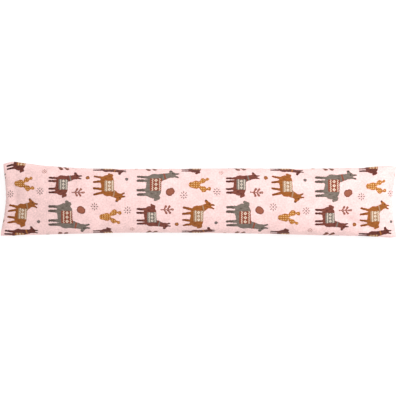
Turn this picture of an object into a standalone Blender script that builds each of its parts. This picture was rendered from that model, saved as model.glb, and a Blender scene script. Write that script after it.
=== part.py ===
"""Draught excluder: one stuffed plush tube, sewn flat across both ends, lying on its back.

Run it with: blender --background --python part.py
Metres, +Z up. X runs along the tube, Y across its face and Z through its thickness.
The origin is the middle of the underside.
"""

import math
from collections import namedtuple

import bmesh
import bpy
from mathutils import Vector

MM = 0.001

# Driving sizes of the finished tube.
LENGTH = 900 * MM  # tip to tip, over the corner ears
FLAT_WIDTH = 180 * MM  # the sewn tube laid flat, so its girth is twice this
SEAM_HALF_THICKNESS = 1.5 * MM  # half of the two plush layers pressed together in an end seam
REST_PRESS = 5 * MM  # how far the stuffing is flattened by what it lies on
SEAM_PULL = 55 * MM  # the rings follow the drawn-in seam over about this length

# How the section changes: 0.5 is an ellipse, and a larger power pinches its two edges.
MIDDLE_POWER = 0.5
END_POWER = 0.78
PINCH_LENGTH = 70 * MM

# The tables below are in millimetres.

# The two long edges seen from above: far is the one at +Y, and near the one at -Y.
Edges = namedtuple("Edges", "x far near")
OUTLINE = (
    Edges(-450, 82.5, -83.0),
    Edges(-425, 87.5, -83.5),
    Edges(-405, 84.5, -81.5),
    Edges(-360, 78.5, -80.0),
    Edges(-315, 74.5, -78.5),
    Edges(-270, 71.5, -77.5),
    Edges(-180, 70.0, -75.5),
    Edges(-90, 70.0, -75.0),
    Edges(0, 70.5, -75.5),
    Edges(90, 71.0, -76.5),
    Edges(180, 70.5, -78.5),
    Edges(275, 71.0, -81.0),
    Edges(365, 72.5, -83.0),
    Edges(412, 76.5, -85.5),
    Edges(440, 78.0, -87.5),
    Edges(450, 76.0, -85.5),
)

# Each end seam is drawn in between its two corner ears, and hangs above the floor. Towards it
# the stuffing rounds down over one length, and the tube's middle height sinks over another.
EndSeam = namedtuple("EndSeam", "far_corner_in near_corner_in drawn_in height rounding sinking")
LEFT_SEAM = EndSeam(6.5, 0, 8.5, 27, 74, 110)
RIGHT_SEAM = EndSeam(0, 0, 8.5, 25, 44, 75)
DRAW_POWER = 1.6  # above 1, more of a seam beside its corners stays out

# Creases and dents, as troughs along a line seen from above. side is 1 for the upper face and
# -1 for the underside.
Fold = namedtuple("Fold", "x0 y0 x1 y1 depth half_width side")
FOLDS = (
    # puckers that run in from the left seam
    Fold(-445, 58, -385, 50, 3.2, 7, 1),
    Fold(-445, 31, -400, 27, 2.4, 6, 1),
    Fold(-445, 4, -378, 6, 3.4, 7, 1),
    Fold(-445, -22, -405, -20, 2.2, 6, 1),
    Fold(-448, -50, -388, -43, 3.2, 7, 1),
    Fold(-445, 40, -395, 35, 3.0, 8, -1),
    Fold(-445, -36, -395, -32, 3.0, 8, -1),
    # puckers that run in from the right seam
    Fold(447, 55, 392, 47, 3.4, 7, 1),
    Fold(445, 27, 404, 24, 2.2, 6, 1),
    Fold(445, -3, 383, -4, 3.2, 7, 1),
    Fold(445, -32, 402, -28, 2.4, 6, 1),
    Fold(447, -62, 388, -53, 3.4, 7, 1),
    Fold(445, 38, 395, 33, 3.0, 8, -1),
    Fold(445, -40, 395, -35, 3.0, 8, -1),
    # drag lines from the corner ears
    Fold(-432, 76, -335, 48, 3.6, 10, 1),
    Fold(-436, -72, -340, -50, 3.4, 10, 1),
    Fold(436, 66, 345, 40, 3.6, 10, 1),
    Fold(436, -76, 340, -52, 3.6, 10, 1),
    # slack places, where the stuffing is thin beside a long edge
    Fold(-300, 72, -272, 18, 2.8, 16, 1),
    Fold(-205, -74, -222, -14, 2.8, 17, 1),
    Fold(-118, 68, -104, 8, 2.4, 18, 1),
    Fold(-28, -72, -40, -22, 2.6, 15, 1),
    Fold(64, 70, 52, 12, 2.6, 17, 1),
    Fold(146, -76, 158, -10, 2.8, 18, 1),
    Fold(236, 69, 252, 20, 2.6, 16, 1),
    Fold(318, -80, 300, -24, 3.0, 16, 1),
)
FOLD_START = 0.12  # how much of its run a fold has behind it where it starts, already sunk
SEAM_STRIP = 12 * MM  # folds fade out over this much cloth beside an end seam

# The mesh: rings stand close together at the ends, where the puckers are.
END_ZONE = 63 * MM
END_RINGS = 14
MIDDLE_RINGS = 70
UPPER_STEPS = 30
LOWER_STEPS = 16

PLUSH_PINK = (0.93, 0.71, 0.69, 1.0)
PLUSH_ROUGHNESS = 0.95


def clear_scene():
    for obj in list(bpy.data.objects):
        bpy.data.objects.remove(obj)


def smoothstep(value):
    value = min(max(value, 0.0), 1.0)
    return value * value * (3 - 2 * value)


def mix(first, second, share):
    return first + (second - first) * share


def edge_at(side, x):
    """Where the far or the near edge lies at x, on a smooth curve through the outline's rows."""
    last = len(OUTLINE) - 1
    k = 0
    while k < last - 1 and x > OUTLINE[k + 1].x * MM:
        k += 1
    span = (OUTLINE[k + 1].x - OUTLINE[k].x) * MM
    share = min(max((x - OUTLINE[k].x * MM) / span, 0.0), 1.0)

    def slope(n):
        low, high = OUTLINE[max(n - 1, 0)], OUTLINE[min(n + 1, last)]
        return (getattr(high, side) - getattr(low, side)) / (high.x - low.x) * span

    start, end = getattr(OUTLINE[k], side) * MM, getattr(OUTLINE[k + 1], side) * MM
    square, cube = share**2, share**3
    return (
        (2 * cube - 3 * square + 1) * start
        + (cube - 2 * square + share) * slope(k)
        + (3 * square - 2 * cube) * end
        + (cube - square) * slope(k + 1)
    )


def ellipse_girth(half_width, half_height):
    total = half_width + half_height
    root = math.sqrt((3 * half_width + half_height) * (half_width + 3 * half_height))
    return math.pi * (3 * total - root)


def half_height_for(half_width):
    """The cloth's girth is the same everywhere, so a narrow place is a thick one."""
    low, high = 0.0, half_width
    for _ in range(40):
        middle = (low + high) / 2
        if ellipse_girth(half_width, middle) < 2 * FLAT_WIDTH:
            low = middle
        else:
            high = middle
    return low


def seam_shift(x, across):
    """How far a point near an end moves along X, because that end's seam is drawn in."""
    shift = 0.0
    for end, seam in ((-1, LEFT_SEAM), (1, RIGHT_SEAM)):
        distance = LENGTH / 2 - end * x
        corner = mix(seam.near_corner_in, seam.far_corner_in, (across + 1) / 2)
        pulled = (corner + seam.drawn_in * (1 - across**2) ** DRAW_POWER) * MM
        shift -= end * pulled * math.exp(-distance / SEAM_PULL)
    return shift


def fold_depth(x, y, side):
    """How deep the creases and dents are at a point of one face."""
    depth = 0.0
    for fold in FOLDS:
        if fold.side != side:
            continue
        start = Vector((fold.x0, fold.y0)) * MM
        run = Vector((fold.x1, fold.y1)) * MM - start
        reach = Vector((x, y)) - start
        share = min(max(reach.dot(run) / run.length_squared, 0.0), 1.0)
        aside = (reach - run * share).length / (fold.half_width * MM)
        fade = math.sin(math.pi * mix(FOLD_START, 1.0, share))
        depth += fold.depth * MM * fade * math.exp(-(aside**2))
    return depth


def surface_point(x, turn):
    """A point of the cloth. turn is 0 at the far edge, 0.5 at the near one and 1 at the far again."""
    far, near = edge_at("far", x), edge_at("near", x)
    half_width, centre = (far - near) / 2, (far + near) / 2
    seam = LEFT_SEAM if x < 0 else RIGHT_SEAM
    distance = LENGTH / 2 - abs(x)
    full = half_height_for(half_width)
    rounding = math.sqrt(1 - (1 - min(distance / (seam.rounding * MM), 1)) ** 2)
    half_height = mix(SEAM_HALF_THICKNESS, full, rounding)
    sinking = smoothstep(distance / (seam.sinking * MM))
    middle_height = mix(seam.height * MM, full - REST_PRESS, sinking)
    power = mix(END_POWER, MIDDLE_POWER, smoothstep(distance / PINCH_LENGTH))

    angle = 2 * math.pi * turn
    across, up = math.cos(angle), math.sin(angle)
    side = 1 if up >= 0 else -1
    rise = side * abs(up) ** (2 * power)
    x_here = x + seam_shift(x, across)
    y_here = centre + half_width * across

    outward = Vector((0, across / half_width, rise / half_height)).normalized()
    inset = fold_depth(x_here, y_here, side) * abs(rise) * smoothstep(distance / SEAM_STRIP)
    point = Vector((x_here, y_here, middle_height + half_height * rise)) - outward * inset
    point.z = max(point.z, 0.0)
    return point


def ring_places():
    """The rings' places along X, from the left seam to the right one."""
    half = LENGTH / 2
    ends = [END_ZONE * n / END_RINGS for n in range(END_RINGS)]
    run = LENGTH - 2 * END_ZONE
    middle = [-half + END_ZONE + run * n / MIDDLE_RINGS for n in range(MIDDLE_RINGS + 1)]
    return [-half + d for d in ends] + middle + [half - d for d in reversed(ends)]


def ring_turns():
    upper = [0.5 * n / UPPER_STEPS for n in range(UPPER_STEPS)]
    lower = [0.5 + 0.5 * n / LOWER_STEPS for n in range(LOWER_STEPS)]
    return upper + lower


def centred(rings):
    """The points moved so that the origin is the middle of the underside."""
    points = [point for ring in rings for point in ring]
    low = [min(point[k] for point in points) for k in range(3)]
    high = [max(point[k] for point in points) for k in range(3)]
    move = Vector(((low[0] + high[0]) / 2, (low[1] + high[1]) / 2, low[2]))
    return [[point - move for point in ring] for ring in rings]


def plush_material():
    material = bpy.data.materials.new("printed_plush")
    material.use_nodes = True
    shader = material.node_tree.nodes["Principled BSDF"]
    shader.inputs["Base Color"].default_value = PLUSH_PINK
    shader.inputs["Roughness"].default_value = PLUSH_ROUGHNESS
    shader.inputs["Metallic"].default_value = 0.0
    return material


def stuffed_tube():
    """The filled tube as one closed solid: ring joined to ring, and a strip across each seam."""
    points = centred([[surface_point(x, turn) for turn in ring_turns()] for x in ring_places()])
    bm = bmesh.new()
    rings = [[bm.verts.new(point) for point in ring] for ring in points]
    count = len(rings[0])
    for left, right in zip(rings, rings[1:]):
        for n in range(count):
            after = (n + 1) % count
            bm.faces.new((left[n], left[after], right[after], right[n]))
    bm.faces.new(rings[0][::-1])
    bm.faces.new(rings[-1])
    bmesh.ops.triangulate(bm, faces=bm.faces[:], ngon_method="BEAUTY")
    bmesh.ops.recalc_face_normals(bm, faces=bm.faces[:])
    mesh = bpy.data.meshes.new("stuffed_tube")
    bm.to_mesh(mesh)
    bm.free()
    mesh.shade_smooth()
    mesh.materials.append(plush_material())
    tube = bpy.data.objects.new("stuffed_tube", mesh)
    bpy.context.scene.collection.objects.link(tube)
    return tube


clear_scene()
stuffed_tube()
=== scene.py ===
# %% [markdown]
# # A stuffed draught excluder in printed plush
#
# A draught excluder is a long cushion that lies along the foot of a door. This one is a single
# panel of short-pile plush, sewn into a tube, stuffed with fibre and sewn flat across both ends.
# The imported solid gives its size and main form. This lesson dresses it: a sheet of cloth is
# shaped round that form, simulated so that it puckers where it is sewn, and then printed and
# given its pile with shader nodes.

import math
from collections import namedtuple

import bpy
import numpy as np
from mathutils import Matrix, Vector


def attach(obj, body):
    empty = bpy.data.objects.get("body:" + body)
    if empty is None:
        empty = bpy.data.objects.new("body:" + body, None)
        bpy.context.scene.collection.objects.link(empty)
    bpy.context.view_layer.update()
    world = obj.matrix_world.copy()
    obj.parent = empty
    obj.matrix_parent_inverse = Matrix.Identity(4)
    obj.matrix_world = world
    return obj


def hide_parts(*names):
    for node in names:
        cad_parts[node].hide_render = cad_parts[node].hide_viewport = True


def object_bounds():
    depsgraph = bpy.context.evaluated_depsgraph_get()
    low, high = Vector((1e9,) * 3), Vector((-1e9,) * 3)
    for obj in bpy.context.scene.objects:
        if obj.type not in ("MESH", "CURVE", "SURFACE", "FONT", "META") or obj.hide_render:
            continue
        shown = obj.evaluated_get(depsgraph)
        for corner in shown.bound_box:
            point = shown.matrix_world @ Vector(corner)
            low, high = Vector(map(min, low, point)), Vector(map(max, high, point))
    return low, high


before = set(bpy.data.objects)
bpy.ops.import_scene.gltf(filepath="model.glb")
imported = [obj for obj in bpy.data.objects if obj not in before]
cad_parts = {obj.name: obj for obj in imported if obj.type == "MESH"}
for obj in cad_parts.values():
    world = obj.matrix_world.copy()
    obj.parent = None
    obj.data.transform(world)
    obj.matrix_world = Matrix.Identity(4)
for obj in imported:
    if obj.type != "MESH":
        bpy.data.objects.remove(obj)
CAD_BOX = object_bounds()
NODE = "stuffed_tube"
MM = 0.001
print("the packed solids reach from", tuple(CAD_BOX[0]), "to", tuple(CAD_BOX[1]))

# %% [markdown]
# ## The camera
#
# The photograph looks straight down on the tube, from far enough away that its two long edges
# fall off alike. Its frame is square, and the 900 mm tube takes up nearly all of the width. The
# camera is therefore placed by the size of one pixel: a long lens, high above the seams.

# %% Place the camera above the tube
IMAGE_PIXELS = 400
TUBE_PIXELS = 396
TUBE_LENGTH = CAD_BOX[1].x - CAD_BOX[0].x
PIXEL = TUBE_LENGTH / TUBE_PIXELS
TUBE_CENTRE_PIXEL = (198.4, 199.6)
SEAM_HEIGHT = 26 * MM
CAMERA_DISTANCE = 3.0
SENSOR = 36.0

camera_data = bpy.data.cameras.new("camera")
camera_data.sensor_width = SENSOR
camera_data.lens = SENSOR * CAMERA_DISTANCE / (IMAGE_PIXELS * PIXEL)
camera = bpy.data.objects.new("camera", camera_data)
camera.location = (
    (IMAGE_PIXELS / 2 - TUBE_CENTRE_PIXEL[0]) * PIXEL,
    (TUBE_CENTRE_PIXEL[1] - IMAGE_PIXELS / 2) * PIXEL,
    SEAM_HEIGHT + CAMERA_DISTANCE,
)
bpy.context.scene.collection.objects.link(camera)
bpy.context.scene.camera = camera
print(f"one pixel is {PIXEL / MM:.2f} mm, and the lens is {camera_data.lens:.0f} mm")

# %% [markdown]
# ## The form of the tube
#
# A sewn tube keeps its girth. Where stuffing makes it thick it is narrow, and where an end seam
# presses it flat it is as wide as the cloth allows. The outline seen from above is the one thing
# the photograph measures, so the thickness at each place is worked out from the girth. These are
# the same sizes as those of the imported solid, so that the dressed surface lies on it.

# %% The sizes of the tube, in millimetres
HALF_LENGTH = 450
GIRTH = 360
SEAM_HALF_THICKNESS = 1.5
REST_PRESS = 5
SEAM_PULL = 55
MIDDLE_POWER = 0.5
END_POWER = 0.78
PINCH_LENGTH = 70
HALVINGS = 40

Edges = namedtuple("Edges", "x far near")
OUTLINE = (
    Edges(-450, 82.5, -83.0),
    Edges(-425, 87.5, -83.5),
    Edges(-405, 84.5, -81.5),
    Edges(-360, 78.5, -80.0),
    Edges(-315, 74.5, -78.5),
    Edges(-270, 71.5, -77.5),
    Edges(-180, 70.0, -75.5),
    Edges(-90, 70.0, -75.0),
    Edges(0, 70.5, -75.5),
    Edges(90, 71.0, -76.5),
    Edges(180, 70.5, -78.5),
    Edges(275, 71.0, -81.0),
    Edges(365, 72.5, -83.0),
    Edges(412, 76.5, -85.5),
    Edges(440, 78.0, -87.5),
    Edges(450, 76.0, -85.5),
)

EndSeam = namedtuple("EndSeam", "far_corner_in near_corner_in drawn_in height rounding sinking")
LEFT_SEAM = EndSeam(6.5, 0, 8.5, 27, 74, 110)
RIGHT_SEAM = EndSeam(0, 0, 8.5, 25, 44, 75)
DRAW_POWER = 1.6

Fold = namedtuple("Fold", "x0 y0 x1 y1 depth half_width side")
FOLDS = (
    # puckers that run in from the left seam
    Fold(-445, 58, -385, 50, 3.2, 7, 1),
    Fold(-445, 31, -400, 27, 2.4, 6, 1),
    Fold(-445, 4, -378, 6, 3.4, 7, 1),
    Fold(-445, -22, -405, -20, 2.2, 6, 1),
    Fold(-448, -50, -388, -43, 3.2, 7, 1),
    Fold(-445, 40, -395, 35, 3.0, 8, -1),
    Fold(-445, -36, -395, -32, 3.0, 8, -1),
    # puckers that run in from the right seam
    Fold(447, 55, 392, 47, 3.4, 7, 1),
    Fold(445, 27, 404, 24, 2.2, 6, 1),
    Fold(445, -3, 383, -4, 3.2, 7, 1),
    Fold(445, -32, 402, -28, 2.4, 6, 1),
    Fold(447, -62, 388, -53, 3.4, 7, 1),
    Fold(445, 38, 395, 33, 3.0, 8, -1),
    Fold(445, -40, 395, -35, 3.0, 8, -1),
    # drag lines from the corner ears
    Fold(-432, 76, -335, 48, 3.6, 10, 1),
    Fold(-436, -72, -340, -50, 3.4, 10, 1),
    Fold(436, 66, 345, 40, 3.6, 10, 1),
    Fold(436, -76, 340, -52, 3.6, 10, 1),
    # slack places, where the stuffing is thin beside a long edge
    Fold(-300, 72, -272, 18, 2.8, 16, 1),
    Fold(-205, -74, -222, -14, 2.8, 17, 1),
    Fold(-118, 68, -104, 8, 2.4, 18, 1),
    Fold(-28, -72, -40, -22, 2.6, 15, 1),
    Fold(64, 70, 52, 12, 2.6, 17, 1),
    Fold(146, -76, 158, -10, 2.8, 18, 1),
    Fold(236, 69, 252, 20, 2.6, 16, 1),
    Fold(318, -80, 300, -24, 3.0, 16, 1),
)
FOLD_START = 0.12
SEAM_STRIP = 12
print(len(OUTLINE), "places along the outline and", len(FOLDS), "folds")


# %% Curves and sections
def smoothstep(value):
    value = np.clip(value, 0, 1)
    return value * value * (3 - 2 * value)


def mix(first, second, share):
    return first + (second - first) * share


def edge_at(side, x):
    """Where the far or near edge lies at x, on a smooth curve through the outline's rows."""
    places = np.array([row.x for row in OUTLINE], float)
    values = np.array([getattr(row, side) for row in OUTLINE])
    slopes = np.empty_like(values)
    slopes[1:-1] = (values[2:] - values[:-2]) / (places[2:] - places[:-2])
    slopes[0] = (values[1] - values[0]) / (places[1] - places[0])
    slopes[-1] = (values[-1] - values[-2]) / (places[-1] - places[-2])
    k = np.clip(np.searchsorted(places, x, side="right") - 1, 0, len(places) - 2)
    span = places[k + 1] - places[k]
    share = np.clip((x - places[k]) / span, 0, 1)
    square, cube = share**2, share**3
    return (
        (2 * cube - 3 * square + 1) * values[k]
        + (cube - 2 * square + share) * slopes[k] * span
        + (3 * square - 2 * cube) * values[k + 1]
        + (cube - square) * slopes[k + 1] * span
    )


def half_height_for(half_width):
    """The half height of the ellipse that has the cloth's girth, found by halving the gap."""
    low, high = np.zeros_like(half_width), half_width.copy()
    for _ in range(HALVINGS):
        middle = (low + high) / 2
        root = np.sqrt((3 * half_width + middle) * (half_width + 3 * middle))
        girth = math.pi * (3 * (half_width + middle) - root)
        low = np.where(girth < GIRTH, middle, low)
        high = np.where(girth < GIRTH, high, middle)
    return low


def seam_shift(x, across):
    """How far a point near an end moves along X, because that end's seam is drawn in."""
    shift = np.zeros(np.broadcast(x, across).shape)
    for end, seam in ((-1, LEFT_SEAM), (1, RIGHT_SEAM)):
        corner = mix(seam.near_corner_in, seam.far_corner_in, (across + 1) / 2)
        pulled = corner + seam.drawn_in * (1 - across**2) ** DRAW_POWER
        shift -= end * pulled * np.exp(-(HALF_LENGTH - end * x) / SEAM_PULL)
    return shift


def fold_depth(x, y, side):
    """How deep the creases and dents are at each point, given which face it is on."""
    depth = np.zeros(x.shape)
    for fold in FOLDS:
        run_x, run_y = fold.x1 - fold.x0, fold.y1 - fold.y0
        reach_x, reach_y = x - fold.x0, y - fold.y0
        along = (reach_x * run_x + reach_y * run_y) / (run_x**2 + run_y**2)
        share = np.clip(along, 0, 1)
        aside = np.hypot(reach_x - run_x * share, reach_y - run_y * share) / fold.half_width
        fade = np.sin(math.pi * mix(FOLD_START, 1, share))
        depth += np.where(side == fold.side, fold.depth * fade * np.exp(-(aside**2)), 0)
    return depth


def surface(x, turn, folds=True):
    """Points of the cloth. turn is 0 at the far edge, 0.25 on top and 0.5 at the near edge."""
    x, turn = np.broadcast_arrays(x, turn)
    far, near = edge_at("far", x), edge_at("near", x)
    half_width, centre = (far - near) / 2, (far + near) / 2
    left = x < 0
    distance = HALF_LENGTH - np.abs(x)
    full = half_height_for(half_width)
    reach = np.minimum(distance / np.where(left, LEFT_SEAM.rounding, RIGHT_SEAM.rounding), 1)
    half_height = mix(SEAM_HALF_THICKNESS, full, np.sqrt(1 - (1 - reach) ** 2))
    sinking = smoothstep(distance / np.where(left, LEFT_SEAM.sinking, RIGHT_SEAM.sinking))
    seam_height = np.where(left, LEFT_SEAM.height, RIGHT_SEAM.height)
    middle_height = mix(seam_height, full - REST_PRESS, sinking)
    power = mix(END_POWER, MIDDLE_POWER, smoothstep(distance / PINCH_LENGTH))

    across, up = np.cos(2 * math.pi * turn), np.sin(2 * math.pi * turn)
    side = np.where(up >= 0, 1, -1)
    rise = side * np.abs(up) ** (2 * power)
    points = np.stack(
        [x + seam_shift(x, across), centre + half_width * across, middle_height + half_height * rise],
        axis=-1,
    )
    if folds:
        outward = np.stack([np.zeros(x.shape), across / half_width, rise / half_height], axis=-1)
        outward /= np.linalg.norm(outward, axis=-1, keepdims=True)
        inset = fold_depth(points[..., 0], points[..., 1], side) * np.abs(rise)
        points -= outward * (inset * smoothstep(distance / SEAM_STRIP))[..., None]
    points[..., 2] = np.maximum(points[..., 2], 0)
    return points


crest = surface(np.array([-300.0, 0.0, 300.0]), 0.25)
print("the crest is", [round(float(z)) for z in crest[:, 2]], "mm high at three places")

# %% [markdown]
# ## A sheet of cloth, rolled into a tube
#
# The print has to follow the cloth, so the surface starts as what a maker cuts: a flat sheet.
# Blender's grid primitive gives that sheet together with a UV map, which then holds every point's
# place on the flat cloth, in metres. The sheet is rolled round the form with equal steps of cloth
# along each section, so that the print isn't stretched, and its edges are merged to close it.

# %% How the sheet is divided
RINGS_PER_HALF = 92
STEPS_ROUND = 72
SEAM_GROOVE = 1.8
FINE_PLACES, FINE_TURNS = 4001, 721  # close enough to measure a run of cloth


def ring_places(end):
    """Places along one half, from its seam to the middle, an equal run of cloth apart on top."""
    distance = HALF_LENGTH * np.linspace(0, 1, FINE_PLACES) ** 2
    top = surface(end * (HALF_LENGTH - distance), 0.25, folds=False)
    run = np.linalg.norm(np.diff(top, axis=0), axis=1)
    length = np.concatenate([[0], np.cumsum(run)])
    even = np.linspace(0, length[-1], RINGS_PER_HALF + 1)
    return np.interp(even, length, distance), even


def even_turns(x):
    """The turns of one ring, an equal run of cloth apart, from the back's middle and over the top."""
    turn = np.linspace(0.75, -0.25, FINE_TURNS)
    section = surface(np.full(turn.shape, x), turn, folds=False)[:, 1:]
    length = np.concatenate([[0], np.cumsum(np.linalg.norm(np.diff(section, axis=0), axis=1))])
    return np.interp(np.linspace(0, length[-1], STEPS_ROUND + 1), length, turn)


left_distance, left_cloth = ring_places(-1)
right_distance, right_cloth = ring_places(1)
ring_x = np.concatenate([left_distance - HALF_LENGTH, (HALF_LENGTH - right_distance)[-2::-1]])
ring_u = np.concatenate([left_cloth - left_cloth[-1], (right_cloth[-1] - right_cloth)[-2::-1]])
# The print's scale along the tube lies between the longer way over the top and the edges' shorter one.
ring_u = (ring_u + ring_x) / 2
print(len(ring_x), "rings of", STEPS_ROUND, "steps, on", round(float(np.ptp(ring_u))), "mm of cloth")

# %% [markdown]
# A turned seam shows as a groove: the edges of the cloth are folded in and the thread pulls the
# line where they meet a little below the swell on each side. So one more ring is added at each
# end, pressed flat, set a little inwards, and zipped shut by merging its two sides.


# %% Roll the sheet
def seam_ring(x, end):
    """The line where the two layers of an end seam meet: y runs out along one layer and back."""
    share = np.abs((np.arange(STEPS_ROUND + 1) / STEPS_ROUND + 0.25) % 1 * 2 - 1)
    across = 1 - 2 * share
    edges = surface(np.full(2, x), np.array([0.5, 0.0]), folds=False)
    y = mix(edges[0, 1], edges[1, 1], (1 - across) / 2)
    shift = seam_shift(np.full(across.shape, x), -across)
    height = (LEFT_SEAM if end < 0 else RIGHT_SEAM).height
    return np.stack([x + shift - end * SEAM_GROOVE, y, np.full(y.shape, float(height))], axis=-1)


rings = [surface(np.full(STEPS_ROUND + 1, x), even_turns(x)) for x in ring_x]
rings = [seam_ring(ring_x[0], -1), *rings, seam_ring(ring_x[-1], 1)]
ring_u = np.concatenate([[ring_u[0] - SEAM_GROOVE], ring_u, [ring_u[-1] + SEAM_GROOVE]])
cloth = np.array(rings)
corners = cloth.reshape(-1, 3)
middle = (corners.min(axis=0) + corners.max(axis=0)) / 2
cloth -= (middle[0], middle[1], 0)
print("the rolled sheet measures", np.ptp(corners, axis=0).round(1), "mm")

# %% Make the mesh
bpy.ops.object.select_all(action="DESELECT")
bpy.ops.mesh.primitive_grid_add(x_subdivisions=len(cloth) - 1, y_subdivisions=STEPS_ROUND, size=1)
tube = bpy.context.active_object
tube.name = "plush_tube"
tube.data.name = "plush_tube"
columns = len(cloth)
order = np.empty((len(tube.data.vertices), 3))
tube.data.vertices.foreach_get("co", order.ravel())
ring_of = np.rint((order[:, 0] + 0.5) * (columns - 1)).astype(int)
step_of = np.rint((order[:, 1] + 0.5) * STEPS_ROUND).astype(int)
tube.data.vertices.foreach_set("co", (cloth[ring_of, step_of] * MM).ravel())
print(tube.name, "has", len(tube.data.vertices), "points")

# %% Record where each point lies on the flat cloth
STEP_CLOTH = GIRTH / STEPS_ROUND
cloth_u = (ring_u - ring_u[0])[ring_of]
cloth_v = STEP_CLOTH * step_of
corner_points = np.empty(len(tube.data.loops), int)
tube.data.loops.foreach_get("vertex_index", corner_points)
cloth_map = tube.data.uv_layers[0]
cloth_map.name = "cloth"
cloth_uv = np.stack([cloth_u, cloth_v], axis=-1)[corner_points] * MM
cloth_map.uv.foreach_set("vector", cloth_uv.astype(np.float32).ravel())
print("the cloth map runs to", cloth_uv.max(axis=0).round(3), "m")

# %% [markdown]
# ## Stuffing and sewing, by simulation
#
# Real puckers come from the cloth being longer than the line it is sewn to. Blender's cloth
# simulation makes them the same way: a shape key holds the sheet as a flat, unstuffed tube, and
# its edges are the lengths that the cloth wants to be. The seams and the part that lies on the
# floor are pinned, pressure from inside stands for the stuffing, and the cloth buckles wherever
# it has too much length. It starts close to its final form, so the simulation stays short.

# %% Make the flat tube the cloth's rest shape, and pin the seams
FLOOR_TOUCH = 0.3
HALF_LAYER = 0.5  # half of the gap between the flat tube's two layers
ON_FOLD = 0.1

tube.shape_key_add(name="stuffed")
flat_key = tube.shape_key_add(name="flat")
across_flat = np.abs((cloth_v / GIRTH + 0.25) % 1 * 2 - 1) * GIRTH / 2 - GIRTH / 4
layer = np.where(np.abs(cloth_v - GIRTH / 2) < GIRTH / 4 - ON_FOLD, HALF_LAYER, -HALF_LAYER)
layer[np.abs(np.abs(across_flat) - GIRTH / 4) < ON_FOLD] = 0
layer[(ring_of == 0) | (ring_of == columns - 1)] = 0
flat = np.stack([cloth_u - cloth_u.max() / 2, across_flat, layer], axis=-1)
flat_key.data.foreach_set("co", (flat * MM).ravel())
flat_key.value = 0

pinned = tube.vertex_groups.new(name="pinned")
height = cloth[ring_of, step_of, 2]
held = (ring_of <= 1) | (ring_of >= columns - 2) | (height < FLOOR_TOUCH)
pinned.add(np.flatnonzero(held).tolist(), 1.0, "REPLACE")
print(int(held.sum()), "points are pinned")

# %% Close the tube
MERGE_DISTANCE = 0.01
ring_mark = tube.data.attributes.new("ring", "INT", "POINT")
ring_mark.data.foreach_set("value", ring_of)
bpy.ops.object.mode_set(mode="EDIT")
bpy.ops.mesh.select_all(action="SELECT")
bpy.ops.mesh.remove_doubles(threshold=MERGE_DISTANCE * MM)
bpy.ops.mesh.normals_make_consistent(inside=False)
bpy.ops.object.mode_set(mode="OBJECT")
print("the closed tube has", len(tube.data.vertices), "points")

# %% Let the cloth settle
FRAMES = 32
PRESSURE = 1.2
MOST_MOVE = 6.0
NO_MOVE = 1e-9


def read_points(mesh):
    points = np.empty((len(mesh.vertices), 3), np.float32)
    mesh.vertices.foreach_get("co", points.ravel())
    return points


def write_points(mesh, points):
    mesh.vertices.foreach_set("co", points.ravel())
    mesh.update()


def settle(piece):
    """Runs the cloth simulation and returns where it takes each point."""
    cloth_modifier = piece.modifiers.new("cloth", "CLOTH")
    settings = cloth_modifier.settings
    settings.rest_shape_key = flat_key
    settings.vertex_group_mass = pinned.name
    settings.quality = 6
    settings.mass = 0.3
    settings.air_damping = 5
    settings.tension_stiffness = 40
    settings.compression_stiffness = 5
    settings.shear_stiffness = 5
    settings.bending_stiffness = 0.05
    settings.use_pressure = True
    settings.uniform_pressure_force = PRESSURE
    settings.effector_weights.gravity = 0
    cloth_modifier.collision_settings.use_collision = False
    cloth_modifier.point_cache.frame_start = 1
    cloth_modifier.point_cache.frame_end = FRAMES
    scene = bpy.context.scene
    scene.frame_end = FRAMES
    for frame_number in range(1, FRAMES + 1):
        scene.frame_set(frame_number)
    settled = piece.evaluated_get(bpy.context.evaluated_depsgraph_get())
    points = read_points(settled.data)
    piece.modifiers.remove(cloth_modifier)
    return points


start = read_points(tube.data)
settled = settle(tube)
tube.shape_key_clear()
tube.vertex_groups.clear()
move = settled - start
distance_moved = np.linalg.norm(move, axis=1, keepdims=True)
move *= np.minimum(1, MOST_MOVE * MM / np.maximum(distance_moved, NO_MOVE))
print("the cloth moved up to", round(float(distance_moved.max()) / MM, 1), "mm")

# %% [markdown]
# The pressure also makes the section rounder, and so narrower than the photograph shows. Each
# ring is stretched back to its width, by an amount that changes slowly from ring to ring, so that
# the small unevenness of the two long edges stays.

# %% Stretch each ring back to its width
EASE_RINGS = 13


def ring_edges(points, ring):
    """The lowest and highest place across the tube of each ring."""
    low = np.full(columns, np.inf)
    high = np.full(columns, -np.inf)
    np.minimum.at(low, ring, points[:, 1])
    np.maximum.at(high, ring, points[:, 1])
    return low, high


def eased(values):
    """The values averaged with their neighbours."""
    padded = np.pad(values, EASE_RINGS // 2, mode="edge")
    return np.convolve(padded, np.ones(EASE_RINGS) / EASE_RINGS, mode="valid")


ring = np.empty(len(tube.data.vertices), int)
tube.data.attributes["ring"].data.foreach_get("value", ring)
tube.data.attributes.remove(tube.data.attributes["ring"])
points = start + move
old_low, old_high = ring_edges(start, ring)
new_low, new_high = ring_edges(points, ring)
stretch = eased((old_high - old_low) / (new_high - new_low))[ring]
old_middle = eased((old_low + old_high) / 2)[ring]
new_middle = eased((new_low + new_high) / 2)[ring]
points[:, 1] = old_middle + (points[:, 1] - new_middle) * stretch
points[:, 2] = np.maximum(points[:, 2], 0)
write_points(tube.data, points)
print("the rings were stretched by up to", round(100 * float(stretch.max() - 1), 1), "percent")

# %% [markdown]
# ## Seams
#
# The photograph shows no seam along either long edge, because the print runs round both of them.
# A maker closes such a tube along its back, so that seam lies on the floor. It is a shallow
# valley: its line of points is lifted a little, and its edges are creased so that subdivision
# keeps the line sharp. The two end seams already lie in their groove and only need the crease.

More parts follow.
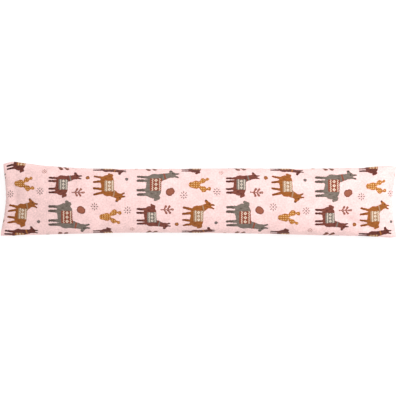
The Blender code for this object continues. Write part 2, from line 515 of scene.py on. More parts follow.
# %% Press in the closing seam and crease all three
BACK_SEAM_DEPTH = 1.2
SEAM_CREASE = 0.8
ON_SEAM = 0.1  # a point this near the cloth's edge lies on its seam


def cloth_places(mesh):
    """Where each point lies on the flat cloth, in millimetres, along the tube and round it."""
    corner_places = np.empty((len(mesh.loops), 2), np.float32)
    mesh.uv_layers["cloth"].uv.foreach_get("vector", corner_places.ravel())
    corner_points = np.empty(len(mesh.loops), int)
    mesh.loops.foreach_get("vertex_index", corner_points)
    places = np.empty((len(mesh.vertices), 2))
    places[corner_points] = corner_places / MM
    return places[:, 0], places[:, 1]


along, around = cloth_places(tube.data)
on_back = (around < ON_SEAM) | (around > GIRTH - ON_SEAM)
on_end = (along < ON_SEAM) | (along > along.max() - ON_SEAM)
points = read_points(tube.data)
points[on_back & ~on_end, 2] += BACK_SEAM_DEPTH * MM
write_points(tube.data, points)
creases = tube.data.attributes.new("crease_edge", "FLOAT", "EDGE")
for edge in tube.data.edges:
    first, second = edge.vertices
    both_back = on_back[first] and on_back[second]
    both_end = on_end[first] and on_end[second]
    creases.data[edge.index].value = SEAM_CREASE if both_back or both_end else 0.0
print(int(on_back.sum()), "points lie on the closing seam and", int(on_end.sum()), "on the end seams")

# %% Subdivide once
bpy.ops.object.modifier_add(type="SUBSURF")
tube.modifiers[-1].levels = 1
tube.modifiers[-1].render_levels = 1
bpy.ops.object.modifier_apply(modifier=tube.modifiers[-1].name)
bpy.ops.object.shade_smooth()
print(tube.name, "has", 2 * len(tube.data.polygons), "triangles")

# %% [markdown]
# The thread of an end seam also gathers the cloth a little, so short, fine ridges stand square to
# the seam between the large puckers. They are finer than the cloth's steps in the simulation, so
# they are pressed in afterwards: waves round the tube, uneven in width and depth, that are deepest
# a few millimetres from the seam and die out beyond it. They also die out towards the long edges,
# because the corner ears stand out smooth.

# %% Gather the cloth beside the end seams
GATHERS = 30  # round the tube, so each takes 12 mm of cloth
GATHER_DEPTH = 1.9
GATHER_REACH = 7.0
SHAKES, SHAKE = 5, 1.3  # how often round the tube the ridges crowd together, and by how much
CALMS, CALM = 7, 0.35  # how often round the tube they get shallow, and by how much


def gather_wave(angle, end):
    """A wave between 0 and 1 round the tube, with ridges of uneven width and depth."""
    shaken = GATHERS * angle + SHAKE * np.sin(SHAKES * angle + end)
    depth = 1 - CALM + CALM * np.sin(CALMS * angle + 2 * end)
    away_from_edges = np.abs(np.cos(angle))
    return away_from_edges * depth * (1 - np.cos(shaken)) / 2


along, around = cloth_places(tube.data)
angle = 2 * math.pi * around / GIRTH
dent = np.zeros(len(angle))
for end, distance in ((-1, along), (1, along.max() - along)):
    reach = distance / GATHER_REACH
    dent += GATHER_DEPTH * gather_wave(angle, end) * reach * np.exp(1 - reach)
normals = np.empty((len(tube.data.vertices), 3), np.float32)
tube.data.vertices.foreach_get("normal", normals.ravel())
points = read_points(tube.data) - normals * (dent * MM)[:, None].astype(np.float32)
points[:, 2] = np.maximum(points[:, 2], 0)
write_points(tube.data, points)
print("the gathers are up to", round(float(dent.max()), 1), "mm deep")

# %% [markdown]
# ## Drawing with distances
#
# The print is drawn by nodes, not by a picture. Every shape in it is a distance: a number that is
# below zero inside the shape, zero on its outline and above zero outside. Distances add up well.
# The smaller of two joins two shapes, the larger keeps what both share, and a soft step at zero
# lays the ink. All of it is worked out in millimetres on the flat cloth.

# %% One function adds a node
MATH = "ShaderNodeMath"
VECTOR = "ShaderNodeVectorMath"
CLAMP = "ShaderNodeClamp"
RANGE = "ShaderNodeMapRange"
MIX = "ShaderNodeMix"
NOISE = "ShaderNodeTexNoise"
SPLIT = "ShaderNodeSeparateXYZ"
JOIN = "ShaderNodeCombineXYZ"
GROUP = "ShaderNodeGroup"


def add_node(tree, kind, inputs, output=0, **settings):
    """Adds a node, makes its settings, fills or links its inputs, and returns one output."""
    node = tree.nodes.new(kind)
    for name, value in settings.items():
        setattr(node, name, value)
    for key, value in inputs.items():
        if isinstance(value, bpy.types.NodeSocket):
            tree.links.new(value, node.inputs[key])
        else:
            node.inputs[key].default_value = value
    return node.outputs[output]


def linear(hex_colour):
    """An sRGB hex colour as the linear colour that Blender's sockets take."""
    channels = [int(hex_colour[k : k + 2], 16) / 255 for k in (1, 3, 5)]
    return (*[c / 12.92 if c <= 0.04045 else ((c + 0.055) / 1.055) ** 2.4 for c in channels], 1)


def new_group(name, inputs, outputs):
    """A node group with its own inputs and outputs: its tree, and the sockets of both inside it."""
    kinds = {"vector": "NodeSocketVector", "value": "NodeSocketFloat", "colour": "NodeSocketColor"}
    group = bpy.data.node_groups.new(name, "ShaderNodeTree")
    for title, kind in inputs.items():
        group.interface.new_socket(title, in_out="INPUT", socket_type=kinds[kind])
    for title, kind in outputs.items():
        group.interface.new_socket(title, in_out="OUTPUT", socket_type=kinds[kind])
    return group, group.nodes.new("NodeGroupInput").outputs, group.nodes.new("NodeGroupOutput").inputs


# %% Strokes of a brush, and ink
Stroke = namedtuple("Stroke", "x0 y0 x1 y1 radius0 radius1")
INK_SOFTNESS = 0.45
RUFFLE = 2.8  # the grain moves an outline by up to half of this, either way
MOTIF_INPUTS = {"Place": "vector", "Grain": "value", "Coat": "colour", "Shade": "colour"}
MOTIF_OUTPUTS = {"Colour": "colour", "Distance": "value"}


def stroke_distance(tree, place, stroke):
    """The distance to a brush stroke from one point to another, with a radius at each end."""
    start = Vector((stroke.x0, stroke.y0, 0))
    run = Vector((stroke.x1, stroke.y1, 0)) - start
    swell = stroke.radius1 - stroke.radius0
    reach = add_node(tree, VECTOR, {0: place, 1: start}, operation="SUBTRACT")
    step = {0: reach, 1: run / run.length_squared}
    along = add_node(tree, VECTOR, step, "Value", operation="DOT_PRODUCT")
    share = add_node(tree, CLAMP, {0: along})
    nearest = add_node(tree, VECTOR, {0: run, "Scale": share}, operation="SCALE")
    aside = add_node(tree, VECTOR, {0: reach, 1: nearest}, "Value", operation="DISTANCE")
    radius = add_node(tree, MATH, {0: share, 1: swell, 2: stroke.radius0}, operation="MULTIPLY_ADD")
    return add_node(tree, MATH, {0: aside, 1: radius}, operation="SUBTRACT")


def joined_strokes(tree, place, strokes, softness):
    """One shape out of several strokes, with rounded corners where they meet."""
    whole = stroke_distance(tree, place, strokes[0])
    for stroke in strokes[1:]:
        pair = {0: whole, 1: stroke_distance(tree, place, stroke), 2: softness}
        whole = add_node(tree, MATH, pair, operation="SMOOTH_MIN")
    return whole


def ruffled(tree, distance, grain):
    """The distance to a shape whose outline is made uneven by the grain."""
    ruffle = {0: grain, 1: -RUFFLE, 2: RUFFLE / 2}
    ruffle = add_node(tree, MATH, ruffle, operation="MULTIPLY_ADD")
    return add_node(tree, MATH, {0: distance, 1: ruffle}, operation="ADD")


def lay_on(tree, under, colour, distance, softness=INK_SOFTNESS):
    """One colour laid over another, inside a shape and with a soft edge."""
    step = {0: distance, 1: softness, 2: -softness, 3: 0.0, 4: 1.0}
    cover = add_node(tree, RANGE, step, interpolation_type="SMOOTHSTEP")
    return add_node(tree, MIX, {0: cover, 6: under, 7: colour}, 2, data_type="RGBA")


print("a stroke is seven nodes, and laying a colour is two")

# %% [markdown]
# ## Repeating the motifs
#
# The cloth is printed in columns 200 mm wide, and every second column is turned over, so that its
# motifs look the other way. That is a glide repeat, a usual way to keep a small print from lining
# up. One group works out, for a motif at a given place in the first column, where a point of the
# cloth lies in that motif's own millimetres: x is forward and y is up. The print runs along the
# tube, so up is towards the right-hand end.

# %% The repeat
COLUMN = 200.0
REPEAT = 180.0


def glide_repeat_group():
    """A node group that finds where a point of the cloth lies in a motif's own millimetres."""
    tree, given, result = new_group(
        "glide_repeat",
        {"Cloth": "vector", "Start": "vector", "Facing": "value", "Size": "value"},
        {"Place": "vector"},
    )
    cloth_parts = add_node(tree, SPLIT, {0: given["Cloth"]}).node.outputs
    start_parts = add_node(tree, SPLIT, {0: given["Start"]}).node.outputs
    from_start = add_node(tree, MATH, {0: cloth_parts["X"], 1: start_parts["X"]}, operation="SUBTRACT")
    up = add_node(tree, MATH, {0: from_start, 1: COLUMN / 2, 2: -COLUMN / 2}, operation="WRAP")
    to_column = add_node(tree, MATH, {0: from_start, 1: up}, operation="SUBTRACT")
    half_turns = add_node(tree, MATH, {0: to_column, 1: math.pi / COLUMN}, operation="MULTIPLY")
    turned_over = add_node(tree, MATH, {0: half_turns}, operation="COSINE")
    across = add_node(tree, MATH, {0: cloth_parts["Y"], 1: turned_over}, operation="MULTIPLY")
    across = add_node(tree, MATH, {0: across, 1: start_parts["Y"]}, operation="SUBTRACT")
    across = add_node(tree, MATH, {0: across, 1: REPEAT / 2, 2: -REPEAT / 2}, operation="WRAP")
    forward = add_node(tree, MATH, {0: across, 1: given["Facing"]}, operation="MULTIPLY")
    place = add_node(tree, JOIN, {"X": forward, "Y": up})
    shrink = add_node(tree, MATH, {0: 1.0, 1: given["Size"]}, operation="DIVIDE")
    place = add_node(tree, VECTOR, {0: place, "Scale": shrink}, operation="SCALE")
    tree.links.new(place, result["Place"])
    return tree


glide_repeat = glide_repeat_group()
print("the print repeats every", 2 * COLUMN, "mm along the tube and", REPEAT, "mm round it")

# %% [markdown]
# ## Llamas
#
# A llama seen from the side is a woolly barrel, a neck, a small head with upright ears, a puff of
# a tail and four short legs. Each takes a brush stroke or two. Joined with soft corners they make
# a plain, friendly beast. A little noise ruffles the outline and streaks the coat. A blanket with
# a row of diamonds between two zigzag lines, a common highland pattern, lies over its back.

# %% The strokes of a llama, in millimetres
BARREL = (
    Stroke(-12.0, -2.0, 10.0, 0.0, 16.5, 15.0),
    Stroke(-27.0, 8.0, -31.0, 2.0, 4.4, 3.0),
)
NECK_UP = (
    Stroke(13.0, 4.0, 20.0, 30.0, 10.5, 6.6),
    Stroke(20.5, 36.0, 23.5, 37.0, 6.6, 6.0),
    Stroke(25.0, 36.0, 32.0, 33.8, 4.4, 3.5),
    Stroke(18.0, 40.0, 15.5, 49.0, 2.9, 1.7),
    Stroke(23.0, 41.0, 24.0, 50.0, 2.9, 1.7),
)
NECK_FORWARD = (
    Stroke(13.0, 3.0, 23.0, 22.0, 10.5, 6.8),
    Stroke(24.5, 27.5, 28.0, 27.5, 6.3, 5.8),
    Stroke(29.5, 26.0, 35.5, 21.5, 4.4, 3.4),
    Stroke(21.5, 32.0, 17.5, 40.0, 2.9, 1.7),
    Stroke(26.5, 32.5, 26.0, 41.0, 2.9, 1.7),
)
LEGS_STANDING = (
    Stroke(-20.5, -12.0, -21.0, -34.0, 3.6, 2.5),
    Stroke(-11.5, -14.0, -12.0, -34.5, 3.4, 2.5),
    Stroke(8.0, -14.0, 8.0, -34.5, 3.4, 2.5),
    Stroke(16.0, -12.0, 17.0, -34.0, 3.6, 2.5),
)
LEGS_WALKING = (
    Stroke(-20.0, -12.0, -24.5, -33.0, 3.6, 2.5),
    Stroke(-11.5, -14.0, -9.5, -34.5, 3.4, 2.5),
    Stroke(8.0, -14.0, 5.5, -34.5, 3.4, 2.5),
    Stroke(15.5, -12.0, 20.5, -33.0, 3.6, 2.5),
)
Face = namedtuple("Face", "eye_x eye_y nose_x nose_y")
FACE_UP = Face(24.0, 38.0, 34.0, 34.0)
FACE_FORWARD = Face(28.5, 29.0, 37.5, 21.0)

# %% The blanket
BLANKET_HALF_WIDTH = 13.0
BLANKET_HALF_HEIGHT = 12.6
BLANKET_MIDDLE = 3.4
BLANKET_CORNER = 3.0
ZIGZAG = 2.2
ZIGZAG_LINES = (-5.0, 10.0)
LINE_HALF = 0.9
DIAMOND_PITCH = 8.6
DIAMOND = 3.7


def blanket_distances(tree, x, y):
    """The distances to the blanket, to the pale lines and diamonds woven into it, and to its dots."""
    aside = add_node(tree, MATH, {0: x}, operation="ABSOLUTE")
    side = add_node(tree, MATH, {0: aside, 1: BLANKET_HALF_WIDTH}, operation="SUBTRACT")
    above = add_node(tree, MATH, {0: y, 1: BLANKET_MIDDLE}, operation="SUBTRACT")
    above = add_node(tree, MATH, {0: above}, operation="ABSOLUTE")
    hem = add_node(tree, MATH, {0: above, 1: BLANKET_HALF_HEIGHT}, operation="SUBTRACT")
    blanket = add_node(tree, MATH, {0: side, 1: hem, 2: BLANKET_CORNER}, operation="SMOOTH_MAX")

    tooth = add_node(tree, MATH, {0: x, 1: ZIGZAG}, operation="PINGPONG")
    rise = add_node(tree, MATH, {0: y, 1: tooth}, operation="SUBTRACT")
    lines = []
    for height in ZIGZAG_LINES:
        line = add_node(tree, MATH, {0: rise, 1: height}, operation="SUBTRACT")
        lines.append(add_node(tree, MATH, {0: line}, operation="ABSOLUTE"))
    zigzag = add_node(tree, MATH, {0: lines[0], 1: lines[1]}, operation="MINIMUM")
    zigzag = add_node(tree, MATH, {0: zigzag, 1: LINE_HALF}, operation="SUBTRACT")

    half_pitch = DIAMOND_PITCH / 2
    beside = add_node(tree, MATH, {0: x, 1: half_pitch, 2: -half_pitch}, operation="WRAP")
    beside = add_node(tree, MATH, {0: beside}, operation="ABSOLUTE")
    from_middle = add_node(tree, MATH, {0: beside, 1: above}, operation="ADD")
    diamond = add_node(tree, MATH, {0: from_middle, 1: DIAMOND}, operation="SUBTRACT")
    woven = add_node(tree, MATH, {0: zigzag, 1: diamond}, operation="MINIMUM")
    woven = add_node(tree, MATH, {0: woven, 1: blanket}, operation="MAXIMUM")
    dots = add_node(tree, MATH, {0: from_middle, 1: DIAMOND / 3}, operation="SUBTRACT")
    dots = add_node(tree, MATH, {0: dots, 1: blanket}, operation="MAXIMUM")
    return blanket, woven, dots


print("the blanket is", 2 * BLANKET_HALF_WIDTH, "mm wide before it is scaled")

# %% Draw the two llamas
OUTLINE_SOFTNESS = 2.4
STREAK_LONG, STREAK_SHORT = 9.0, 1.6
STREAK_LEVEL, STREAK_SOFTNESS = 0.58, 0.22
KNEE, SHIN = -17.0, -27.0
EAR_ROOT, EAR_TIP = 4.0, 10.0  # above the eye
EYE_RADIUS, NOSE_RADIUS = 1.3, 2.0
COLLAR_TURN = (0.25, 0.97, 0.0)
COLLAR_HEIGHT = 0.66  # as a share of the eye's height
COLLAR_HALF_WIDTH = 1.7
DARK_INK = linear("#2b1d1a")


def llama_group(name, strokes, face):
    """A node group that draws one llama, and gives its colour and the distance to its outline."""
    blanket_inputs = {"Blanket": "colour", "Woven": "colour", "Dots": "colour"}
    tree, given, result = new_group(name, {**MOTIF_INPUTS, **blanket_inputs}, MOTIF_OUTPUTS)
    place = given["Place"]
    parts = add_node(tree, SPLIT, {0: place}).node.outputs
    x, y = parts["X"], parts["Y"]
    wool = joined_strokes(tree, place, strokes, OUTLINE_SOFTNESS)
    wool = ruffled(tree, wool, given["Grain"])

    # The coat is streaked downwards, and darker below the knees and at the ear tips.
    stretched = {0: place, 1: (1 / STREAK_SHORT, 1 / STREAK_LONG, 0)}
    stretched = add_node(tree, VECTOR, stretched, operation="MULTIPLY")
    streak = add_node(tree, NOISE, {"Vector": stretched, "Scale": 1.0, "Detail": 1.0}, "Fac")
    streak = add_node(tree, MATH, {0: STREAK_LEVEL, 1: streak}, operation="SUBTRACT")
    colour = lay_on(tree, given["Coat"], given["Shade"], streak, STREAK_SOFTNESS)
    shin = {0: y, 1: KNEE, 2: SHIN, 3: 1.0, 4: -1.0}
    shin = add_node(tree, RANGE, shin, interpolation_type="SMOOTHSTEP")
    ear = {0: y, 1: face.eye_y + EAR_ROOT, 2: face.eye_y + EAR_TIP, 3: 1.0, 4: -1.0}
    ear = add_node(tree, RANGE, ear, interpolation_type="SMOOTHSTEP")
    dark_end = add_node(tree, MATH, {0: shin, 1: ear}, operation="MINIMUM")
    colour = lay_on(tree, colour, given["Shade"], dark_end, 1.0)

    blanket, woven, dots = blanket_distances(tree, x, y)
    colour = lay_on(tree, colour, given["Blanket"], blanket)
    colour = lay_on(tree, colour, given["Woven"], woven)
    colour = lay_on(tree, colour, given["Dots"], dots)

    # A collar of the blanket's cloth lies round the neck, square to it.
    up_neck = {0: place, 1: COLLAR_TURN}
    up_neck = add_node(tree, VECTOR, up_neck, "Value", operation="DOT_PRODUCT")
    collar = {0: up_neck, 1: face.eye_y * COLLAR_HEIGHT}
    collar = add_node(tree, MATH, collar, operation="SUBTRACT")
    collar = add_node(tree, MATH, {0: collar}, operation="ABSOLUTE")
    collar = add_node(tree, MATH, {0: collar, 1: COLLAR_HALF_WIDTH}, operation="SUBTRACT")
    colour = lay_on(tree, colour, given["Blanket"], collar)

    eye = (face.eye_x, face.eye_y, EYE_RADIUS)
    nose = (face.nose_x, face.nose_y, NOSE_RADIUS)
    for spot_x, spot_y, radius in (eye, nose):
        spot = {0: place, 1: (spot_x, spot_y, 0)}
        spot = add_node(tree, VECTOR, spot, "Value", operation="DISTANCE")
        spot = add_node(tree, MATH, {0: spot, 1: radius}, operation="SUBTRACT")
        colour = lay_on(tree, colour, DARK_INK, spot)
    tree.links.new(colour, result["Colour"])
    tree.links.new(wool, result["Distance"])
    return tree


llama_strokes = BARREL + NECK_UP + LEGS_STANDING
standing_llama = llama_group("standing_llama", llama_strokes, FACE_UP)
walking_llama = llama_group("walking_llama", BARREL + NECK_FORWARD + LEGS_WALKING, FACE_FORWARD)
print("each llama is", len(llama_strokes), "strokes and", len(standing_llama.nodes), "nodes")

# %% [markdown]
# ## Plants, stars, pebbles and dots
#
# The small motifs fill the gaps. A prickly pear is a few fat round pads one on another, with rows
# of short pale dashes for its spines, and a sprig is a stem with pairs of leaves. A star is one
# dash, repeated by folding the angle round its middle.

# %% The strokes of the plants
PRICKLY_PEAR = (
    Stroke(0.0, -18.0, 0.0, -7.0, 6.4, 9.6),
    Stroke(-5.5, 2.0, -10.5, 10.5, 3.4, 7.0),
    Stroke(4.5, 2.0, 9.5, 9.0, 3.0, 6.2),
    Stroke(-10.5, 18.0, -9.5, 23.5, 2.0, 4.4),
    Stroke(10.5, 15.0, 13.5, 20.0, 1.8, 3.8),
)
SPRIG = (
    Stroke(0.0, -14.0, 0.5, 8.0, 1.2, 0.9),
    Stroke(0.0, -7.0, -7.0, -2.0, 1.0, 2.7),
    Stroke(0.0, -7.0, 7.0, -3.0, 1.0, 2.7),
    Stroke(0.0, 0.0, -6.5, 6.0, 1.0, 2.5),
    Stroke(0.0, 0.0, 7.0, 5.0, 1.0, 2.5),
    Stroke(0.5, 7.0, 0.5, 12.5, 1.6, 2.3),
)
SPINE = Stroke(-0.6, -1.1, 0.6, 1.1, 0.6, 0.6)
SPINE_PITCH = (4.6, 5.6, 1.0)
SPINE_MARGIN = 1.2
PLANT_SOFTNESS = 1.6
FLESH_LEVEL, FLESH_SOFTNESS = 0.56, 0.1


def plant_group(name, strokes):
    """A node group that draws one plant, and gives its colour and the distance to its outline."""
    tree, given, result = new_group(name, {**MOTIF_INPUTS, "Woven": "colour"}, MOTIF_OUTPUTS)
    flesh = joined_strokes(tree, given["Place"], strokes, PLANT_SOFTNESS)
    flesh = ruffled(tree, flesh, given["Grain"])
    streak = add_node(tree, MATH, {0: FLESH_LEVEL, 1: given["Grain"]}, operation="SUBTRACT")
    colour = lay_on(tree, given["Coat"], given["Shade"], streak, FLESH_SOFTNESS)
    half_pitch = Vector(SPINE_PITCH) / 2
    nearest = {0: given["Place"], 1: half_pitch, 2: -half_pitch}
    nearest = add_node(tree, VECTOR, nearest, operation="WRAP")
    spine = stroke_distance(tree, nearest, SPINE)
    within = add_node(tree, MATH, {0: flesh, 1: SPINE_MARGIN}, operation="ADD")
    spine = add_node(tree, MATH, {0: spine, 1: within}, operation="MAXIMUM")
    colour = lay_on(tree, colour, given["Woven"], spine)
    tree.links.new(colour, result["Colour"])
    tree.links.new(flesh, result["Distance"])
    return tree


prickly_pear = plant_group("prickly_pear", PRICKLY_PEAR)
sprig = plant_group("sprig", SPRIG)
print("a prickly pear is", len(prickly_pear.nodes), "nodes")

# %% Pebbles, dots and stars
PEBBLE = Stroke(-1.2, -2.0, 0.8, 2.0, 8.2, 7.4)
DOT = Stroke(0.0, -0.3, 0.0, 0.3, 4.3, 4.3)
STAR_RAYS = 8
RAY = Stroke(5.0, 0.0, 7.8, 0.0, 0.95, 0.8)
STAR_MIDDLE = 1.8
RIM_WIDTH = 1.6
RIM_SOFTNESS = 1.2


def pebble_group(name, stroke):
    """A node group that draws a pebble or a dot with a darker rim."""
    tree, given, result = new_group(name, MOTIF_INPUTS, MOTIF_OUTPUTS)
    edge = stroke_distance(tree, given["Place"], stroke)
    edge = ruffled(tree, edge, given["Grain"])
    rim = add_node(tree, MATH, {0: -RIM_WIDTH, 1: edge}, operation="SUBTRACT")
    colour = lay_on(tree, given["Coat"], given["Shade"], rim, RIM_SOFTNESS)
    tree.links.new(colour, result["Colour"])
    tree.links.new(edge, result["Distance"])
    return tree


def star_group():
    """A node group that draws a star of dashes round a dot."""
    tree, given, result = new_group("star", {"Place": "vector", "Coat": "colour"}, MOTIF_OUTPUTS)
    parts = add_node(tree, SPLIT, {0: given["Place"]}).node.outputs
    away = add_node(tree, VECTOR, {0: given["Place"]}, "Value", operation="LENGTH")
    angle = add_node(tree, MATH, {0: parts["Y"], 1: parts["X"]}, operation="ARCTAN2")
    half_gap = math.pi / STAR_RAYS
    angle = add_node(tree, MATH, {0: angle, 1: half_gap, 2: -half_gap}, operation="WRAP")
    out = add_node(tree, MATH, {0: angle}, operation="COSINE")
    aside = add_node(tree, MATH, {0: angle}, operation="SINE")
    folded = add_node(tree, JOIN, {"X": out, "Y": aside})
    folded = add_node(tree, VECTOR, {0: folded, "Scale": away}, operation="SCALE")
    ray = stroke_distance(tree, folded, RAY)
    middle = add_node(tree, MATH, {0: away, 1: STAR_MIDDLE}, operation="SUBTRACT")
    star_distance = add_node(tree, MATH, {0: ray, 1: middle}, operation="MINIMUM")
    tree.links.new(given["Coat"], result["Colour"])
    tree.links.new(star_distance, result["Distance"])
    return tree


pebble = pebble_group("pebble", PEBBLE)
dot = pebble_group("dot", DOT)
star = star_group()
print("a star is", len(star.nodes), "nodes")

# %% [markdown]
# ## Setting out the print
#
# The large motifs stand in two rows along the top of the tube and one along its edges. The small
# ones fill the gaps over the llamas' backs. Greys, rust, ochre and mauve brown on pale pink make a
# warm, dusty set. Each row below is one motif in the first column.

# %% Colours and places of the motifs
GREY = {"Coat": "#796e65", "Shade": "#564a43", "Blanket": "#854433", "Woven": "#dbc4af", "Dots": "#854433"}
BROWN = {"Coat": "#7a4337", "Shade": "#4f2621", "Blanket": "#746a62", "Woven": "#dacaba", "Dots": "#663d33"}
TAN = {"Coat": "#985928", "Shade": "#794016", "Blanket": "#9d7a5f", "Woven": "#e0d0bd", "Dots": "#804428"}
DARK = {"Coat": "#69352c", "Shade": "#401e1a", "Blanket": "#985d2b", "Woven": "#d7bfa2", "Dots": "#583027"}
OCHRE = {"Coat": "#ac6b26", "Shade": "#8d4c17", "Woven": "#e5bd87"}
MAUVE = {"Coat": "#8d5144", "Shade": "#69362d", "Woven": "#d0a08f"}
BARK = {"Coat": "#74402f", "Shade": "#4f2a20", "Woven": "#a06a52"}
CLAY = {"Coat": "#925542", "Shade": "#653023"}
HONEY = {"Coat": "#9f6233", "Shade": "#774423"}
SLATE = {"Coat": "#746965", "Shade": "#4e4240"}
UMBER = {"Coat": "#664e4a"}
RUST = {"Coat": "#8f4b32"}

Motif = namedtuple("Motif", "group u v facing size colours")
MOTIFS = (
    Motif(standing_llama, 46, 36, 1, 1.08, GREY),
    Motif(standing_llama, 38, -36, -1, 0.87, BROWN),
    Motif(walking_llama, 142, -33, 1, 0.92, TAN),
    Motif(standing_llama, 138, 90, 1, 0.86, DARK),
    Motif(prickly_pear, 146, 35, 1, 0.96, OCHRE),
    Motif(sprig, 75, -19, 1, 1.0, MAUVE),
    Motif(sprig, 38, 91, -1, 1.75, BARK),
    Motif(pebble, 82, 20, 1, 1.0, CLAY),
    Motif(dot, 96, -52, 1, 1.0, HONEY),
    Motif(dot, 184, -48, 1, 0.8, SLATE),
    Motif(dot, 4, 86, 1, 0.9, HONEY),
    Motif(star, 112, 12, 1, 1.0, UMBER),
    Motif(star, 186, 20, 1, 1.0, UMBER),
    Motif(star, 84, 90, 1, 0.8, RUST),
    Motif(star, 196, 66, 1, 0.7, RUST),
)
print(len(MOTIFS), "motifs in a column")

# %% [markdown]
# ## The printed plush
#
# The cloth is a polyester flannel fleece: a knit with a short, dense pile, printed afterwards.
# Three things tell the eye so. The pile blurs every printed edge a little. It leans this way and
# that, so it catches the light unevenly and the colour looks faintly mottled. And it catches light
# at a grazing angle, which gives a soft pale rim instead of a highlight. So the print's edges are
# shaken by fine noise, and the colour is lightened and darkened in broad patches as painted sheen
# and shade. The roughness is varied by the same broad noise, the tufts get painted shade in their
# pits and a painted highlight on their tips, and the shader has a high roughness with sheen.

# %% Places on the cloth, in millimetres from the middle of the top
GROUND = "#ebc7c4"
FIRST_COLUMN = -146.0  # so that few motifs are cut through by the end seams
TUFT = 3.8  # the pile's tufts are about 1 mm, drawn coarser so that they show in the render
LEAN = 24.0  # the pile leans the same way over patches of about this size
EDGE_SHAKE = 1.7  # how far the pile drags a printed edge about
SHAKE_SIZE = 1.8
GRAIN_SIZE = 4.5
NOISE_MIDDLE = (0.5, 0.5, 0.5)

plush = bpy.data.materials.new("printed_flannel_fleece")
plush.use_nodes = True
tree = plush.node_tree
cloth_place = add_node(tree, "ShaderNodeUVMap", {}, uv_map="cloth")
cloth_mm = add_node(tree, VECTOR, {0: cloth_place, "Scale": 1 / MM}, operation="SCALE")
top_middle = (float(cloth_u.max()) / 2, GIRTH / 2, 0)
cloth_mm = add_node(tree, VECTOR, {0: cloth_mm, 1: top_middle}, operation="SUBTRACT")
shake = add_node(tree, NOISE, {"Vector": cloth_mm, "Scale": 1 / SHAKE_SIZE, "Detail": 1.0}, "Color")
shake = add_node(tree, VECTOR, {0: shake, 1: NOISE_MIDDLE}, operation="SUBTRACT")
shake = add_node(tree, VECTOR, {0: shake, "Scale": EDGE_SHAKE}, operation="SCALE")
printed_place = add_node(tree, VECTOR, {0: cloth_mm, 1: shake}, operation="ADD")
grain = {"Vector": cloth_mm, "Scale": 1 / GRAIN_SIZE, "Detail": 2.0, "Roughness": 0.6}
grain = add_node(tree, NOISE, grain, "Fac")

# %% Print the motifs one over another
colour = linear(GROUND)
for motif in MOTIFS:
    start = (FIRST_COLUMN + motif.u, motif.v, 0)
    seat = {"Cloth": printed_place, "Start": start, "Facing": motif.facing, "Size": motif.size}
    drawing = {"Place": add_node(tree, GROUP, seat, node_tree=glide_repeat)}
    if motif.group is not star:
        drawing["Grain"] = grain
    for name, hex_colour in motif.colours.items():
        drawing[name] = linear(hex_colour)
    drawn = add_node(tree, GROUP, drawing, node_tree=motif.group).node.outputs
    colour = lay_on(tree, colour, drawn["Colour"], drawn["Distance"])
print("the print is", len(tree.nodes), "nodes and groups")

# %% Give the pile its painted mottling, painted tuft shade and highlight, bump and sheen
NOISE_LOW, NOISE_HIGH = 0.3, 0.7  # nearly all of the noise lies between these
# painted sheen and shade: broad patches lighter or darker as the pile's lean would catch the light
DULL, BRIGHT = 0.91, 1.06  # how the lean of the pile changes the colour
# painted shade in the pits of the tufts and a painted highlight on their tips, by the bump's pile height
PIT_SHADE, TIP_HIGHLIGHT = 0.86, 1.12  # how the colour changes from the bottom of a tuft to its tip
SMOOTHEST, ROUGHEST = 0.88, 1.0
BUMP_STRENGTH = 0.4
BUMP_DEPTH = 0.7

mottle = add_node(tree, NOISE, {"Vector": cloth_mm, "Scale": 1 / LEAN, "Detail": 3.0}, "Fac")
painted_lean_sheen = add_node(tree, RANGE, {0: mottle, 1: NOISE_LOW, 2: NOISE_HIGH, 3: DULL, 4: BRIGHT})
colour = add_node(tree, VECTOR, {0: colour, "Scale": painted_lean_sheen}, operation="SCALE")
pile_height = add_node(tree, NOISE, {"Vector": cloth_mm, "Scale": 1 / TUFT, "Detail": 3.0}, "Fac")
# The pile height that gives the bump also paints shade into the pits and a highlight onto the tips.
painted_tuft_shade = add_node(tree, RANGE, {0: pile_height, 1: NOISE_LOW, 2: NOISE_HIGH, 3: PIT_SHADE, 4: TIP_HIGHLIGHT})
colour = add_node(tree, VECTOR, {0: colour, "Scale": painted_tuft_shade}, operation="SCALE")
bump = {"Strength": BUMP_STRENGTH, "Distance": BUMP_DEPTH * MM, "Height": pile_height}
shader = tree.nodes["Principled BSDF"]
tree.links.new(colour, shader.inputs["Base Color"])
roughness = add_node(tree, RANGE, {0: mottle, 3: SMOOTHEST, 4: ROUGHEST})
tree.links.new(roughness, shader.inputs["Roughness"])
tree.links.new(add_node(tree, "ShaderNodeBump", bump), shader.inputs["Normal"])
shader.inputs["Specular IOR Level"].default_value = 0.2
shader.inputs["Sheen Weight"].default_value = 0.18
shader.inputs["Sheen Roughness"].default_value = 0.45
shader.inputs["Sheen Tint"].default_value = linear("#fff1ee")
tube.data.materials.clear()
tube.data.materials.append(plush)
print(plush.name, "is on", tube.name)

# %% [markdown]
# ## Floor and light
#
# The photograph is a bright studio picture on white, lit softly from everywhere and rather more
# from the upper right: the right-hand end is the palest and the left-hand end the darkest. Nearly
# no shadow shows beside the tube, as on a light table: a sheet of opal acrylic that is also lit
# from below. So the floor glows a little, and the sky brightens evenly from left to right.

# %% A plain pale floor
FLOOR_SIZE = 30.0
FLOOR_GLOW = 0.75

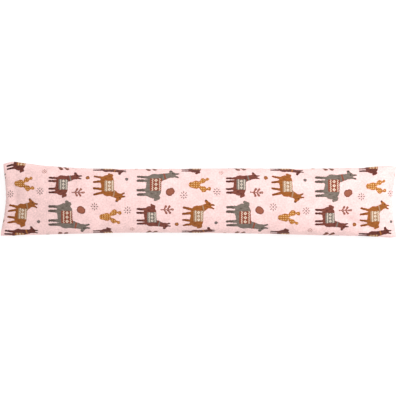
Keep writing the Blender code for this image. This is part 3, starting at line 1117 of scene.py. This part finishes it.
bpy.ops.object.select_all(action="DESELECT")
bpy.ops.mesh.primitive_plane_add(size=FLOOR_SIZE)
floor = bpy.context.active_object
floor.name = "floor"
opal = bpy.data.materials.new("opal_acrylic")
opal.use_nodes = True
opal_shader = opal.node_tree.nodes["Principled BSDF"]
opal_shader.inputs["Base Color"].default_value = linear("#959595")
opal_shader.inputs["Roughness"].default_value = 0.9
opal_shader.inputs["Emission Color"].default_value = (1, 1, 1, 1)
opal_shader.inputs["Emission Strength"].default_value = FLOOR_GLOW
floor.data.materials.append(opal)
print(floor.name, "is", FLOOR_SIZE, "m wide")

# %% Soft lights
Lamp = namedtuple("Lamp", "name x y z size power")
LAMPS = (
    Lamp("key", 1.1, 0.75, 1.5, 1.4, 26.0),
    Lamp("fill", -0.4, -0.8, 2.4, 2.2, 6.0),
)
SKY_LEFT, SKY_RIGHT = 0.45, 1.25
for lamp in LAMPS:
    lamp_data = bpy.data.lights.new(lamp.name, "AREA")
    lamp_data.size = lamp.size
    lamp_data.energy = lamp.power
    light = bpy.data.objects.new(lamp.name, lamp_data)
    light.location = (lamp.x, lamp.y, lamp.z)
    light.rotation_euler = (-light.location).to_track_quat("-Z", "Y").to_euler()
    bpy.context.scene.collection.objects.link(light)

world = bpy.data.worlds.new("studio")
world.use_nodes = True
sky = world.node_tree
direction = add_node(sky, "ShaderNodeTexCoord", {}, "Generated")
rightwards = add_node(sky, SPLIT, {0: direction})
strength = add_node(sky, RANGE, {0: rightwards, 1: -1.0, 2: 1.0, 3: SKY_LEFT, 4: SKY_RIGHT})
sky.nodes["Background"].inputs["Color"].default_value = (1, 1, 1, 1)
sky.links.new(strength, sky.nodes["Background"].inputs["Strength"])
bpy.context.scene.world = world
bpy.context.scene.view_settings.view_transform = "Standard"
print(len(LAMPS), "lights and a pale sky")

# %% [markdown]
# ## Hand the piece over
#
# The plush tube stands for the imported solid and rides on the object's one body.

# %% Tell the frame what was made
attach(tube, "root")
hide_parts(NODE)
